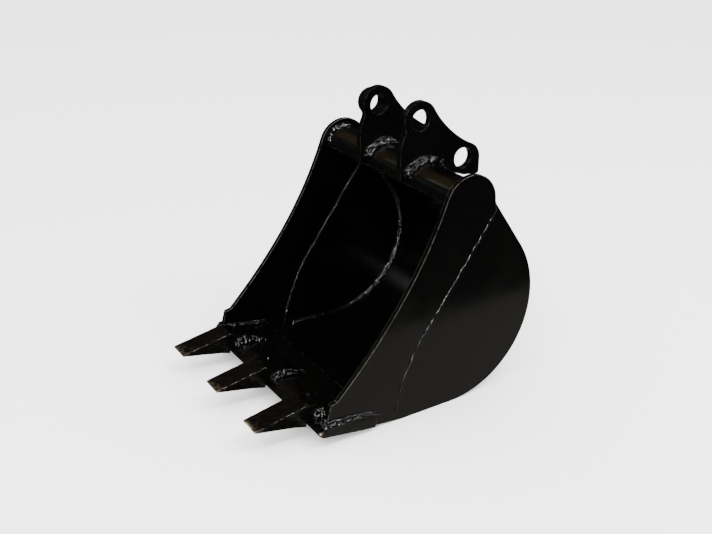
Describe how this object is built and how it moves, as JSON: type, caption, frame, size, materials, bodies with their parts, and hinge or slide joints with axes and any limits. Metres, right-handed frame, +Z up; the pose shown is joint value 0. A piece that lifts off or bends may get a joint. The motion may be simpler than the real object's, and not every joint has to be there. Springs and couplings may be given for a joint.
{
  "type": "excavator_bucket",
  "caption": "Black painted welded steel digging bucket for a micro excavator, with weld-on teeth, top roll and twin hanger ears for the machine's pins.",
  "frame": {"origin": "on the ground, in the middle of the footprint of the bounding box", "axes": "+X across the bucket, +Y from the teeth to the rounded back, +Z up; the bucket stands on its flat floor"},
  "size_m": [0.315, 0.4054, 0.3846],
  "materials": {
    "black_paint": "gloss black enamel over rolled steel plate",
    "weld_paint": "gloss black enamel run thickly over rippled weld beads",
    "worn_edge": "black enamel over forged and flame-cut steel, rubbed thin and rusty at tips and corners"
  },
  "bodies": {
    "root": {"side_plate_left": "black_paint", "cheek_plate_left": "black_paint", "side_plate_right": "black_paint", "cheek_plate_right": "black_paint", "shell": "black_paint", "top_roll": "black_paint", "cutting_edge": "worn_edge", "tooth_left": "worn_edge", "tooth_weld_left_left": "weld_paint", "tooth_weld_left_right": "weld_paint", "tooth_middle": "worn_edge", "tooth_weld_middle_left": "weld_paint", "tooth_weld_middle_right": "weld_paint", "tooth_right": "worn_edge", "tooth_weld_right_left": "weld_paint", "tooth_weld_right_right": "weld_paint", "hanger_ear_left": "black_paint", "ear_weld_left_outer": "weld_paint", "ear_weld_left_inner": "weld_paint", "hanger_ear_right": "black_paint", "ear_weld_right_outer": "weld_paint", "ear_weld_right_inner": "weld_paint", "pin_boss_front": "black_paint", "pin_boss_rear": "black_paint", "top_roll_weld_left": "weld_paint", "cheek_seam_outer_left": "weld_paint", "cheek_seam_inner_left": "weld_paint", "shell_weld_left": "weld_paint", "blade_weld_outer_left": "weld_paint", "blade_weld_inner_left": "weld_paint", "top_roll_weld_right": "weld_paint", "cheek_seam_outer_right": "weld_paint", "cheek_seam_inner_right": "weld_paint", "shell_weld_right": "weld_paint", "blade_weld_outer_right": "weld_paint", "blade_weld_inner_right": "weld_paint", "blade_seam_weld": "weld_paint", "top_roll_seam_weld": "weld_paint"}
  },
  "joints": []
}
